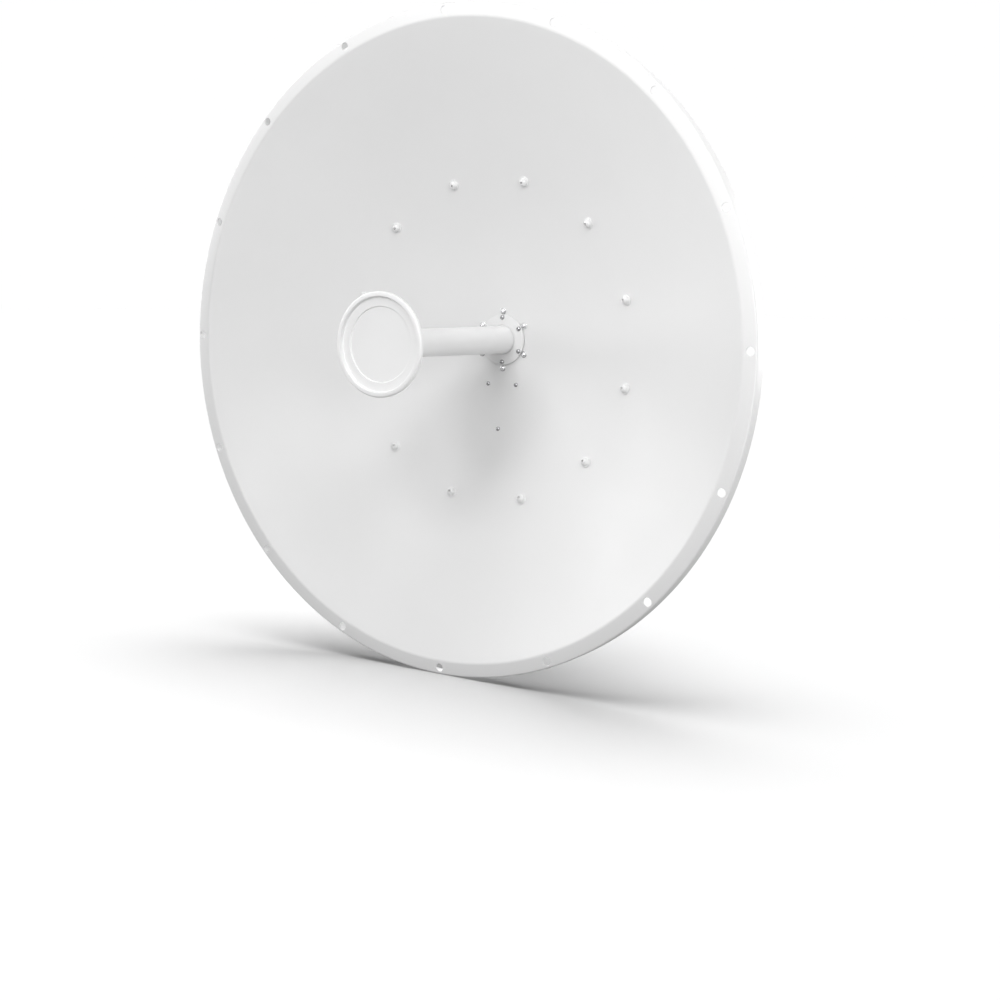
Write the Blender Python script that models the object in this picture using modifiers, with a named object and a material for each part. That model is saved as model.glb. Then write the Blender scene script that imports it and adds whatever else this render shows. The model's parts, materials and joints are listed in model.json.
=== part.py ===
"""A parabolic dish antenna of 1.05 m with its feed, back ring, elevation frame and mast clamp.

Metres, +Z up. The dish looks along -Y. The origin lies on the flat floor of the mast saddle, on the dish's axis.
"""

import math

import bmesh
import bpy
from mathutils import Vector

# Driving dimensions
GAP = 0.0003
RIM_RADIUS = 0.525
RIM_FLANGE = 0.022
BOWL_DEPTH = 0.180
SHEET = 0.002
LIP_DEPTH = 0.0235
LIP_BEND = 0.003
RIM_HOLES = 16
RIM_HOLE_CIRCLE = 0.5147
RIM_HOLE_RADIUS = 0.0065
CENTRE_HOLE_RADIUS = 0.026
SADDLE_TO_VERTEX = 0.140
DISH_SEGMENTS = 80
BOWL_STEPS = 10

# The bowl
BOWL_RADIUS = RIM_RADIUS - RIM_FLANGE
FOCAL_LENGTH = BOWL_RADIUS**2 / (4 * BOWL_DEPTH)
VERTEX_Y = -SADDLE_TO_VERTEX
RIM_Y = VERTEX_Y - BOWL_DEPTH

# The feed
FLANGE_RADIUS = 0.042
FLANGE_FRONT_Y = RIM_Y + 0.1750
FLANGE_BACK_Y = RIM_Y + 0.1784
FLANGE_CHAMFER = 0.001
SPIGOT_RADIUS = CENTRE_HOLE_RADIUS - 0.0005
SPIGOT_REACH = 0.0005
TUBE_HUB_RADIUS = 0.0234
TUBE_CAP_RADIUS = 0.0210
TUBE_WALL = 0.0025
TUBE_FRONT_Y = RIM_Y - 0.1420
CAP_RADIUS = 0.0783
CAP_RIM_INNER_RADIUS = 0.0709
CAP_STEP_RADIUS = 0.0566
CAP_FRONT_Y = RIM_Y - 0.1620
CAP_BACK_Y = RIM_Y - 0.1500
CAP_LAND_Y = CAP_FRONT_Y + 0.0040
CAP_CENTRE_Y = CAP_LAND_Y + 0.0018
CAP_STEP_DRAFT = 0.001
CAP_BEND = 0.003
CONE_RADIUS = CAP_RADIUS - 0.006
CONE_EDGE = 0.002
CONE_COLLAR_RADIUS = 0.0270
CONE_COLLAR_ROOT = 0.004
CONE_COLLAR_LENGTH = 0.010
CONE_SOCKET_RADIUS = TUBE_CAP_RADIUS + 0.0006

# Behind the dish: the hub, the waveguide block and its two connectors
HUB_RADIUS = 0.058
HUB_DEPTH = 0.006
HUB_SEAT_RADIUS = 0.043
HUB_BORE = 0.016
HUB_CHAMFER = 0.001
BLOCK_HALF = 0.028
BLOCK_DEPTH = 0.030
BLOCK_CORNER = 0.003
CONNECTOR_X = 0.014
CONNECTOR_RADIUS = 0.0042
CONNECTOR_LENGTH = 0.0165
CONNECTOR_COLLAR_RADIUS = 0.0080
CONNECTOR_COLLAR_HEIGHT = 0.0040

# The back ring: a seat on the dish, a sloping wall and a flat flange
RING_SHEET = 0.0025
RING_BEND = 0.004
RING_SEAT_INNER = 0.250
RING_SEAT_OUTER = 0.281
RING_WALL_REAR_RADIUS = 0.238
RING_FLANGE_INNER = 0.200
RING_REAR_Y = -0.1270

# Frame channels and elevation cheeks
CHANNEL_FRONT_Y = RING_REAR_Y + GAP
CHANNEL_DEPTH = 0.025
CHANNEL_SHEET = 0.0025
CHANNEL_INNER_X = 0.055
CHANNEL_WIDTH = 0.040
CHANNEL_HALF_LENGTH = 0.222
CHEEK_SHEET = 0.003
CHEEK_INNER_X = CHANNEL_INNER_X - GAP - CHEEK_SHEET
CHEEK_FRONT_Y = CHANNEL_FRONT_Y + 0.0005
CHEEK_REAR_Y = -0.006

# The mast bracket
CLAMP_SHEET = 0.004
BRACKET_SHEET = 0.004
BRACKET_OUTER_X = CHEEK_INNER_X - GAP
BRACKET_FRONT_Y = -0.085
BRACKET_REAR_Y = -CLAMP_SHEET - GAP
BRACKET_HALF_HEIGHT = 0.130

# Elevation setting
PIVOT_Y = -0.055
PIVOT_Z = -0.090
LOCK_RADIUS = 0.160
LOCK_SWING = math.radians(12)
PIVOT_BOLT_RADIUS = 0.006
LOCK_BOLT_RADIUS = 0.005
LOCK_BOLT_REACH = 0.013
PIVOT_BOLT_REACH = 0.018
ROD_RADIUS = 0.005
ROD_X = 0.030
ROD_Z = 0.112
ROD_REACH = 0.018
TRUNNION_Y = -0.100
TRUNNION_RADIUS = 0.008

# The mast clamp, of bent plate, made for a mast of 50 to 100 mm
CLAMP_SLOPE = math.radians(50)
CLAMP_FLOOR_X = 0.012
CLAMP_WING_Y = 0.033
CLAMP_WING_TAPER = 0.0004
CLAMP_HALF_WIDTH = 0.076
SADDLE_HALF_HEIGHT = 0.098
JAW_HEIGHT = 0.040
JAW_Z = 0.070
MAST_RADIUS = 0.038
STUD_X = 0.062
STUD_RADIUS = 0.005
STUD_TIP_Y = 0.132

# The radio bracket and its three screws
SCREW_UPPER_X = 0.0275
SCREW_UPPER_Z = -0.0745
SCREW_LOWER_Z = -0.1485
RADIO_PLATE_Y = -0.1300
RADIO_HALF_WIDTH = 0.036
RADIO_TOP_Z = -0.058
RADIO_BOTTOM_Z = -0.178
RADIO_FLANGE = 0.012
RADIO_SHEET = 0.002
SPACER_RADIUS = 0.006

# Directions of a turned piece's own axis
FORWARD = (math.radians(90), 0, 0)
BACKWARD = (math.radians(-90), 0, 0)
RIGHTWARD = (0, math.radians(90), 0)
LEFTWARD = (0, math.radians(-90), 0)
DOWNWARD = (math.radians(180), 0, 0)
SIDE_PLATE = (math.radians(90), 0, math.radians(90))

PARTS = "parabolic_dish_antenna"
CUTTERS = "cutters"
collections = {}
materials = {}


def clear_scene():
    for obj in list(bpy.data.objects):
        bpy.data.objects.remove(obj)


def make_collections():
    for name in (PARTS, CUTTERS):
        collections[name] = bpy.data.collections.new(name)
        bpy.context.scene.collection.children.link(collections[name])


def make_material(name, colour, roughness, metallic):
    material = bpy.data.materials.new(name)
    material.use_nodes = True
    shader = material.node_tree.nodes["Principled BSDF"]
    shader.inputs["Base Color"].default_value = (*colour, 1)
    shader.inputs["Roughness"].default_value = roughness
    shader.inputs["Metallic"].default_value = metallic
    materials[name] = material


def place(obj, material, location=(0, 0, 0), rotation=(0, 0, 0)):
    """Puts a piece in the antenna's collection with its material."""
    obj.location = location
    obj.rotation_euler = rotation
    if material:
        obj.data.materials.append(materials[material])
    collections[PARTS].objects.link(obj)
    return obj


def as_cutter(obj):
    """Turns a piece into a helper that is not part of the antenna."""
    collections[PARTS].objects.unlink(obj)
    collections[CUTTERS].objects.link(obj)
    obj.hide_render = True
    obj.display_type = "WIRE"
    return obj


def combine(obj, other, operation):
    modifier = obj.modifiers.new(operation.lower() + "_" + other.name, "BOOLEAN")
    modifier.object = other
    modifier.operation = operation
    modifier.solver = "EXACT"


def dish_y(radius):
    """Where the bowl's front surface lies at this radius."""
    return VERTEX_Y - radius**2 / (4 * FOCAL_LENGTH)


def dish_back(radius):
    """The point on the bowl's rear surface straight behind the front surface at this radius."""
    slope = radius / (2 * FOCAL_LENGTH)
    length = math.hypot(1, slope)
    return (radius + SHEET * slope / length, dish_y(radius) + SHEET / length)


def dish_back_y(radius):
    """Where the bowl's rear surface lies at this radius, near enough for a seat."""
    slope = radius / (2 * FOCAL_LENGTH)
    return dish_y(radius) + SHEET * math.hypot(1, slope)


def arc(centre, radius, start, end, steps):
    """Points on a circular arc, both ends included, with angles in degrees."""
    points = []
    for i in range(steps + 1):
        angle = math.radians(start + (end - start) * i / steps)
        points.append((centre[0] + radius * math.cos(angle), centre[1] + radius * math.sin(angle)))
    return points


def rounded(corners, radius, steps=3):
    """An outline with an arc in place of each corner."""
    points = []
    for i, corner in enumerate(corners):
        here = Vector(corner)
        before = (Vector(corners[i - 1]) - here).normalized()
        after = (Vector(corners[(i + 1) % len(corners)]) - here).normalized()
        half = before.angle(after) / 2
        centre = here + (before + after).normalized() * (radius / math.sin(half))
        start = here + before * (radius / math.tan(half)) - centre
        end = here + after * (radius / math.tan(half)) - centre
        for step in range(steps + 1):
            direction = start.lerp(end, step / steps).normalized()
            points.append(tuple(centre + direction * radius))
    return points


def turned(name, profile, segments, material, location=(0, 0, 0), rotation=FORWARD, closed=True):
    """A profile of (radius, height) turned about the piece's own axis. It runs down its outer side."""
    mesh = bpy.data.meshes.new(name)
    shape = bmesh.new()
    points = [shape.verts.new((radius, 0, height)) for radius, height in profile]
    for first, second in zip(points, points[1:]):
        shape.edges.new((first, second))
    if closed:
        shape.edges.new((points[-1], points[0]))
    shape.to_mesh(mesh)
    shape.free()
    obj = place(bpy.data.objects.new(name, mesh), material, location, rotation)
    screw = obj.modifiers.new("turn", "SCREW")
    screw.axis = "Z"
    screw.steps = segments
    screw.render_steps = segments
    screw.use_merge_vertices = True
    screw.merge_threshold = 0.00001
    screw.use_smooth_shade = True
    return obj


def facing_forward(profile):
    """A profile given as (radius, y) becomes (radius, height) on an axis that points along -Y."""
    return [(radius, -y) for radius, y in profile]


def extruded(name, loops, thickness, material, location=(0, 0, 0), rotation=(0, 0, 0)):
    """A flat outline, with holes where more loops are given, as a welded mesh."""
    curve = bpy.data.curves.new(name, "CURVE")
    curve.dimensions = "2D"
    curve.fill_mode = "BOTH"
    curve.extrude = thickness / 2
    for loop in loops:
        spline = curve.splines.new("POLY")
        spline.points.add(len(loop) - 1)
        for point, (x, y) in zip(spline.points, loop):
            point.co = (x, y, 0, 1)
        spline.use_cyclic_u = True
    guide = bpy.data.objects.new(name + "_outline", curve)
    collections[PARTS].objects.link(guide)
    guide.location = location
    guide.rotation_euler = rotation
    bpy.context.view_layer.update()
    graph = bpy.context.evaluated_depsgraph_get()
    mesh = bpy.data.meshes.new_from_object(guide.evaluated_get(graph))
    shape = bmesh.new()
    shape.from_mesh(mesh)
    bmesh.ops.remove_doubles(shape, verts=shape.verts, dist=0.000001)
    shape.to_mesh(mesh)
    shape.free()
    bpy.data.objects.remove(guide)
    bpy.data.curves.remove(curve)
    mesh.name = name
    return place(bpy.data.objects.new(name, mesh), material, location, rotation)


def cylinders(name, radius, length, centres, rotation, sides=16):
    """Round cutters of one size, side by side in one helper."""
    mesh = bpy.data.meshes.new(name)
    shape = bmesh.new()
    for centre in centres:
        made = bmesh.ops.create_cone(
            shape, cap_ends=True, segments=sides, radius1=radius, radius2=radius, depth=length
        )
        bmesh.ops.translate(shape, verts=made["verts"], vec=centre)
    shape.to_mesh(mesh)
    shape.free()
    obj = place(bpy.data.objects.new(name, mesh), None, (0, 0, 0), rotation)
    return as_cutter(obj)


def hexagon(name, radius, bottom, top, location, rotation):
    """A six-sided prism between two heights on its own axis."""
    mesh = bpy.data.meshes.new(name)
    shape = bmesh.new()
    made = bmesh.ops.create_cone(
        shape, cap_ends=True, segments=6, radius1=radius, radius2=radius, depth=top - bottom
    )
    bmesh.ops.translate(shape, verts=made["verts"], vec=(0, 0, (top + bottom) / 2))
    shape.to_mesh(mesh)
    shape.free()
    return as_cutter(place(bpy.data.objects.new(name, mesh), None, location, rotation))


def bolt(name, radius, head, nut, tip, location, rotation):
    """A bolt on its own axis, from its head to its tip. head and nut are where the washers bear."""
    washer = 0.0020
    washer_radius = 2.0 * radius
    hex_radius = 1.85 * radius
    hex_height = 1.6 * radius
    profile = [(0, tip), (radius, tip)]
    if nut is not None:
        profile += [(radius, nut + washer), (washer_radius, nut + washer)]
        profile += [(washer_radius, nut), (radius, nut)]
    profile += [(radius, head), (washer_radius, head)]
    profile += [(washer_radius, head - washer), (radius, head - washer)]
    profile += [(radius, head - hex_height), (0, head - hex_height)]
    obj = turned(name, profile, 16, "zinc", location, rotation, closed=False)
    sunk = washer / 2
    bottom = hexagon(
        name + "_head", hex_radius, head - washer - hex_height, head - washer + sunk, location, rotation
    )
    combine(obj, bottom, "UNION")
    if nut is not None:
        top = hexagon(
            name + "_nut", hex_radius, nut + washer - sunk, nut + washer + hex_height, location, rotation
        )
        combine(obj, top, "UNION")
    return obj


def make_reflector():
    """The spun bowl: front surface outwards, round the rim and lip, and back along the rear surface."""
    step = (BOWL_RADIUS - FLANGE_RADIUS) / BOWL_STEPS
    radii = [CENTRE_HOLE_RADIUS] + [FLANGE_RADIUS + step * i for i in range(BOWL_STEPS + 1)]
    front = [(radius, dish_y(radius)) for radius in radii]
    outer = arc((RIM_RADIUS - LIP_BEND, RIM_Y + LIP_BEND), LIP_BEND, -90, 0, 3)
    lip = [(RIM_RADIUS, RIM_Y + LIP_DEPTH), (RIM_RADIUS - SHEET, RIM_Y + LIP_DEPTH)]
    inner = arc((RIM_RADIUS - LIP_BEND, RIM_Y + LIP_BEND), LIP_BEND - SHEET, 0, -90, 2)
    edge_slope = math.atan(BOWL_RADIUS / (2 * FOCAL_LENGTH))
    corner = [(BOWL_RADIUS + SHEET * math.tan(edge_slope / 2), RIM_Y + SHEET)]
    rear = [dish_back(radius) for radius in reversed(radii[1:-1])]
    rear += [(CENTRE_HOLE_RADIUS, dish_back_y(CENTRE_HOLE_RADIUS))]
    profile = front + outer + lip + inner + corner + rear
    reflector = turned("reflector", facing_forward(profile), DISH_SEGMENTS, "dish_paint")
    centres = []
    for i in range(RIM_HOLES):
        angle = 2 * math.pi * i / RIM_HOLES
        x = RIM_HOLE_CIRCLE * math.cos(angle)
        z = RIM_HOLE_CIRCLE * math.sin(angle)
        centres.append((x, z, -RIM_Y))
    holes = cylinders("rim_holes", RIM_HOLE_RADIUS, 0.010, centres, FORWARD, sides=12)
    combine(reflector, holes, "DIFFERENCE")


def make_feed():
    bore = TUBE_HUB_RADIUS - TUBE_WALL
    spigot_end = dish_back_y(0) + SPIGOT_REACH
    flange = [
        (bore, FLANGE_FRONT_Y),
        (FLANGE_RADIUS - FLANGE_CHAMFER, FLANGE_FRONT_Y),
        (FLANGE_RADIUS, FLANGE_FRONT_Y + FLANGE_CHAMFER),
        (FLANGE_RADIUS, FLANGE_BACK_Y),
        (SPIGOT_RADIUS, FLANGE_BACK_Y),
        (SPIGOT_RADIUS, spigot_end),
        (bore, spigot_end),
    ]
    turned("feed_flange", facing_forward(flange), 48, "feed_plastic")
    tube_back = FLANGE_FRONT_Y - GAP
    tube = [
        (TUBE_CAP_RADIUS - TUBE_WALL, TUBE_FRONT_Y),
        (TUBE_CAP_RADIUS, TUBE_FRONT_Y),
        (TUBE_HUB_RADIUS, tube_back),
        (bore, tube_back),
    ]
    turned("feed_tube", facing_forward(tube), 32, "feed_plastic")
    cone_front = CAP_BACK_Y + GAP
    collar_end = TUBE_FRONT_Y + CONE_COLLAR_LENGTH
    cone = [
        (0, cone_front),
        (CONE_RADIUS, cone_front),
        (CONE_RADIUS, cone_front + CONE_EDGE),
        (CONE_COLLAR_RADIUS, TUBE_FRONT_Y + CONE_COLLAR_ROOT),
        (CONE_COLLAR_RADIUS, collar_end),
        (CONE_SOCKET_RADIUS, collar_end),
        (CONE_SOCKET_RADIUS, TUBE_FRONT_Y - GAP),
        (0, TUBE_FRONT_Y - GAP),
    ]
    turned("feed_cone", facing_forward(cone), 48, "feed_plastic", closed=False)
    bend = (CAP_RADIUS - CAP_BEND, CAP_FRONT_Y + CAP_BEND)
    cap = [
        (0, CAP_CENTRE_Y),
        (CAP_STEP_RADIUS - CAP_STEP_DRAFT, CAP_CENTRE_Y),
        (CAP_STEP_RADIUS, CAP_LAND_Y),
        (CAP_RIM_INNER_RADIUS - CAP_STEP_DRAFT, CAP_LAND_Y),
        (CAP_RIM_INNER_RADIUS, CAP_FRONT_Y + CAP_STEP_DRAFT),
        (CAP_RIM_INNER_RADIUS + CAP_STEP_DRAFT, CAP_FRONT_Y),
    ]
    cap += arc(bend, CAP_BEND, -90, 0, 3)
    cap += [(CAP_RADIUS, CAP_BACK_Y), (0, CAP_BACK_Y)]
    turned("feed_cap", facing_forward(cap), 64, "feed_plastic", closed=False)


def make_rear_feed():
    """The hub plate behind the dish, the block that carries the waveguide on, and two connectors under it."""
    spigot_room = CENTRE_HOLE_RADIUS + 0.002
    hub_floor = dish_back_y(0) + 2 * SPIGOT_REACH
    hub_rear = VERTEX_Y + SHEET + HUB_DEPTH
    hub = [(radius, dish_back_y(radius) + GAP) for radius in (spigot_room, HUB_SEAT_RADIUS, HUB_RADIUS)]
    hub += [(HUB_RADIUS, hub_rear - HUB_CHAMFER), (HUB_RADIUS - HUB_CHAMFER, hub_rear)]
    hub += [(HUB_BORE, hub_rear), (HUB_BORE, hub_floor), (spigot_room, hub_floor)]
    turned("rear_hub", facing_forward(hub), 48, "aluminium")
    front = hub_rear + GAP
    rear = front + BLOCK_DEPTH
    corners = [(-BLOCK_HALF, front), (BLOCK_HALF, front), (BLOCK_HALF, rear), (-BLOCK_HALF, rear)]
    extruded("waveguide_block", [rounded(corners, BLOCK_CORNER)], 2 * BLOCK_HALF, "aluminium")
    connector = [
        (0, CONNECTOR_LENGTH),
        (CONNECTOR_RADIUS, CONNECTOR_LENGTH),
        (CONNECTOR_RADIUS, CONNECTOR_COLLAR_HEIGHT),
        (CONNECTOR_COLLAR_RADIUS, CONNECTOR_COLLAR_HEIGHT),
        (CONNECTOR_COLLAR_RADIUS, 0),
        (0, 0),
    ]
    for side, x in (("left", -CONNECTOR_X), ("right", CONNECTOR_X)):
        seat = (x, (front + rear) / 2, -BLOCK_HALF - GAP)
        turned("rf_connector_" + side, connector, 16, "zinc", seat, DOWNWARD, closed=False)


def make_radio_bracket():
    outline = [
        (-RADIO_HALF_WIDTH, RADIO_PLATE_Y),
        (RADIO_HALF_WIDTH, RADIO_PLATE_Y),
        (RADIO_HALF_WIDTH, RADIO_PLATE_Y + RADIO_FLANGE),
        (RADIO_HALF_WIDTH - RADIO_SHEET, RADIO_PLATE_Y + RADIO_FLANGE),
        (RADIO_HALF_WIDTH - RADIO_SHEET, RADIO_PLATE_Y + RADIO_SHEET),
        (-RADIO_HALF_WIDTH + RADIO_SHEET, RADIO_PLATE_Y + RADIO_SHEET),
        (-RADIO_HALF_WIDTH + RADIO_SHEET, RADIO_PLATE_Y + RADIO_FLANGE),
        (-RADIO_HALF_WIDTH, RADIO_PLATE_Y + RADIO_FLANGE),
    ]
    height = RADIO_TOP_Z - RADIO_BOTTOM_Z
    middle = (RADIO_TOP_Z + RADIO_BOTTOM_Z) / 2
    extruded("radio_bracket", [outline], height, "bracket_paint", (0, 0, middle))
    places = (
        ("left", -SCREW_UPPER_X, SCREW_UPPER_Z),
        ("right", SCREW_UPPER_X, SCREW_UPPER_Z),
        ("bottom", 0, SCREW_LOWER_Z),
    )
    for side, x, z in places:
        inward = math.hypot(x, z) - SPACER_RADIUS
        start = dish_back_y(inward) + GAP
        length = RADIO_PLATE_Y - GAP - start
        profile = [(0, length), (SPACER_RADIUS, length), (SPACER_RADIUS, 0), (0, 0)]
        turned(
            "radio_spacer_" + side, profile, 16, "zinc", (x, start, z), BACKWARD, closed=False
        )


def make_back_ring():
    """A pressed ring: a seat that follows the bowl, a wall that leads in and back, and a flat flange."""
    middle = (RING_SEAT_INNER + RING_SEAT_OUTER) / 2
    seat = [(r, dish_back_y(r) + GAP) for r in (RING_SEAT_INNER, middle, RING_SEAT_OUTER)]
    seat_rear = [(r, y + RING_SHEET) for r, y in reversed(seat[1:])]
    bend_radius = RING_SEAT_INNER + RING_SHEET
    rear = [
        (bend_radius, dish_back_y(bend_radius) + RING_BEND),
        (RING_WALL_REAR_RADIUS + RING_SHEET, RING_REAR_Y),
        (RING_FLANGE_INNER, RING_REAR_Y),
        (RING_FLANGE_INNER, RING_REAR_Y - RING_SHEET),
        (RING_WALL_REAR_RADIUS, RING_REAR_Y - RING_SHEET),
    ]
    turned("back_ring", facing_forward(seat + seat_rear + rear), DISH_SEGMENTS, "bracket_paint")


def make_channels():
    outer = CHANNEL_INNER_X + CHANNEL_WIDTH
    rear = CHANNEL_FRONT_Y + CHANNEL_DEPTH
    floor = CHANNEL_FRONT_Y + CHANNEL_SHEET
    outline = [
        (CHANNEL_INNER_X, CHANNEL_FRONT_Y),
        (outer, CHANNEL_FRONT_Y),
        (outer, rear),
        (outer - CHANNEL_SHEET, rear),
        (outer - CHANNEL_SHEET, floor),
        (CHANNEL_INNER_X + CHANNEL_SHEET, floor),
        (CHANNEL_INNER_X + CHANNEL_SHEET, rear),
        (CHANNEL_INNER_X, rear),
    ]
    mirrored = [(-x, y) for x, y in reversed(outline)]
    extruded("frame_channel_right", [outline], 2 * CHANNEL_HALF_LENGTH, "bracket_paint")
    extruded("frame_channel_left", [mirrored], 2 * CHANNEL_HALF_LENGTH, "bracket_paint")


def lock_slot(half_width):
    """The slot's outline: two arcs about the pivot, joined by round ends."""
    pivot = (PIVOT_Y, PIVOT_Z)
    low = 90 - math.degrees(LOCK_SWING)
    high = 90 + math.degrees(LOCK_SWING)
    low_end, high_end = arc(pivot, LOCK_RADIUS, low, high, 1)
    outer = arc(pivot, LOCK_RADIUS + half_width, low, high, 6)
    inner = arc(pivot, LOCK_RADIUS - half_width, high, low, 6)
    high_cap = arc(high_end, half_width, high, high + 180, 5)[1:-1]
    low_cap = arc(low_end, half_width, low + 180, low + 360, 5)[1:-1]
    return outer + high_cap + inner + low_cap


def make_cheeks():
    outline = rounded(
        [
            (CHEEK_FRONT_Y, -0.120),
            (-0.030, -0.120),
            (CHEEK_REAR_Y, -0.095),
            (CHEEK_REAR_Y, 0.095),
            (-0.060, 0.130),
            (CHEEK_FRONT_Y, 0.130),
        ],
        0.008,
    )
    pivot_hole = arc((PIVOT_Y, PIVOT_Z), PIVOT_BOLT_RADIUS + GAP, 360, 22.5, 15)
    slot = list(reversed(lock_slot(LOCK_BOLT_RADIUS + GAP)))
    x = CHEEK_INNER_X + CHEEK_SHEET / 2
    loops = [outline, pivot_hole, slot]
    extruded("elevation_cheek_right", loops, CHEEK_SHEET, "bracket_paint", (x, 0, 0), SIDE_PLATE)
    extruded("elevation_cheek_left", loops, CHEEK_SHEET, "bracket_paint", (-x, 0, 0), SIDE_PLATE)


def make_mast_bracket():
    inner = BRACKET_OUTER_X - BRACKET_SHEET
    outline = [
        (-BRACKET_OUTER_X, BRACKET_REAR_Y),
        (-BRACKET_OUTER_X, BRACKET_FRONT_Y),
        (-inner, BRACKET_FRONT_Y),
        (-inner, BRACKET_REAR_Y - BRACKET_SHEET),
        (inner, BRACKET_REAR_Y - BRACKET_SHEET),
        (inner, BRACKET_FRONT_Y),
        (BRACKET_OUTER_X, BRACKET_FRONT_Y),
        (BRACKET_OUTER_X, BRACKET_REAR_Y),
    ]
    bracket = extruded("mast_bracket", [outline], 2 * BRACKET_HALF_HEIGHT, "bracket_paint")
    width = 4 * BRACKET_OUTER_X
    pivot = cylinders(
        "pivot_cut", PIVOT_BOLT_RADIUS + GAP, width, [(-PIVOT_Z, PIVOT_Y, 0)], RIGHTWARD
    )
    lock_z = PIVOT_Z + LOCK_RADIUS
    lock = cylinders("lock_cut", LOCK_BOLT_RADIUS + GAP, width, [(-lock_z, PIVOT_Y, 0)], RIGHTWARD)
    rod = cylinders("rod_cut", ROD_RADIUS + GAP, 0.030, [(ROD_X, -ROD_Z, BRACKET_REAR_Y)], BACKWARD)
    combine(bracket, pivot, "DIFFERENCE")
    combine(bracket, lock, "DIFFERENCE")
    combine(bracket, rod, "DIFFERENCE")


def make_elevation_setting():
    bearing = CHEEK_INNER_X + CHEEK_SHEET + GAP
    bolt(
        "pivot_bolt",
        PIVOT_BOLT_RADIUS,
        -bearing,
        bearing,
        bearing + PIVOT_BOLT_REACH,
        (0, PIVOT_Y, PIVOT_Z),
        RIGHTWARD,
    )
    inside = BRACKET_OUTER_X - BRACKET_SHEET - GAP
    for side, direction in (("right", LEFTWARD), ("left", RIGHTWARD)):
        bolt(
            "lock_bolt_" + side,
            LOCK_BOLT_RADIUS,
            -bearing,
            -inside,
            -inside + LOCK_BOLT_REACH,
            (0, PIVOT_Y, PIVOT_Z + LOCK_RADIUS),
            direction,
        )
    half = CHEEK_INNER_X - GAP
    profile = [(0, half), (TRUNNION_RADIUS, half), (TRUNNION_RADIUS, -half), (0, -half)]
    trunnion = turned(
        "rod_trunnion", profile, 16, "zinc", (0, TRUNNION_Y, ROD_Z), RIGHTWARD, closed=False
    )
    centre = (ROD_X, -ROD_Z, TRUNNION_Y)
    hole = cylinders("trunnion_cut", ROD_RADIUS + GAP, 0.030, [centre], BACKWARD)
    combine(trunnion, hole, "DIFFERENCE")
    bolt(
        "elevation_rod",
        ROD_RADIUS,
        TRUNNION_Y - TRUNNION_RADIUS - GAP,
        BRACKET_REAR_Y + GAP,
        ROD_REACH,
        (ROD_X, 0, ROD_Z),
        BACKWARD,
    )


def clamp_outline():
    """A bent clamp plate in plan: a floor, two flanks and two wings, whose tips thin a little."""
    flank_x = CLAMP_FLOOR_X + CLAMP_WING_Y / math.tan(CLAMP_SLOPE)
    bend = CLAMP_SHEET * math.tan(CLAMP_SLOPE / 2)
    wing_front = CLAMP_WING_Y - CLAMP_SHEET
    right = [
        (CLAMP_FLOOR_X + bend, -CLAMP_SHEET),
        (flank_x + bend, wing_front),
        (CLAMP_HALF_WIDTH, wing_front + CLAMP_WING_TAPER),
        (CLAMP_HALF_WIDTH, CLAMP_WING_Y - CLAMP_WING_TAPER),
        (flank_x, CLAMP_WING_Y),
        (CLAMP_FLOOR_X, 0),
    ]
    return right + [(-x, y) for x, y in reversed(right)]


def mast_centre_y():
    """Where a mast of nominal size lies in the saddle, on its two flanks."""
    return (MAST_RADIUS - CLAMP_FLOOR_X * math.sin(CLAMP_SLOPE)) / math.cos(CLAMP_SLOPE)


def make_clamp():
    """A long saddle, two jaws across the mast from it, and four studs that draw them together."""
    centre = mast_centre_y()
    outline = clamp_outline()
    mirrored = [(x, 2 * centre - y) for x, y in reversed(outline)]
    places = [(x, -z, centre) for x in (-STUD_X, STUD_X) for z in (-JAW_Z, JAW_Z)]
    holes = cylinders("stud_cut", STUD_RADIUS + GAP, 0.30, places, BACKWARD)
    saddle = extruded("mast_saddle", [outline], 2 * SADDLE_HALF_HEIGHT, "bracket_paint")
    combine(saddle, holes, "DIFFERENCE")
    head = CLAMP_WING_Y - CLAMP_SHEET - GAP
    nut = 2 * centre - head
    for level, z in (("upper", JAW_Z), ("lower", -JAW_Z)):
        jaw = extruded("jaw_" + level, [mirrored], JAW_HEIGHT, "bracket_paint", (0, 0, z))
        combine(jaw, holes, "DIFFERENCE")
        for side, x in (("left", -STUD_X), ("right", STUD_X)):
            name = f"clamp_stud_{level}_{side}"
            bolt(name, STUD_RADIUS, head, nut, STUD_TIP_Y, (x, 0, z), BACKWARD)


def main():
    clear_scene()
    make_collections()
    make_material("dish_paint", (0.86, 0.86, 0.86), 0.45, 0.0)
    make_material("feed_plastic", (0.88, 0.88, 0.88), 0.35, 0.0)
    make_material("bracket_paint", (0.80, 0.80, 0.80), 0.5, 0.0)
    make_material("aluminium", (0.78, 0.79, 0.80), 0.4, 1.0)
    make_material("zinc", (0.62, 0.63, 0.65), 0.35, 1.0)
    make_reflector()
    make_feed()
    make_rear_feed()
    make_radio_bracket()
    make_back_ring()
    make_channels()
    make_cheeks()
    make_mast_bracket()
    make_elevation_setting()
    make_clamp()


main()
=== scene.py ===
"""The looks of a parabolic dish antenna: fine surfaces, fasteners, finishes, soft light and the camera."""

import json
import math

import bmesh
import bpy
from mathutils import Matrix, Vector


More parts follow.
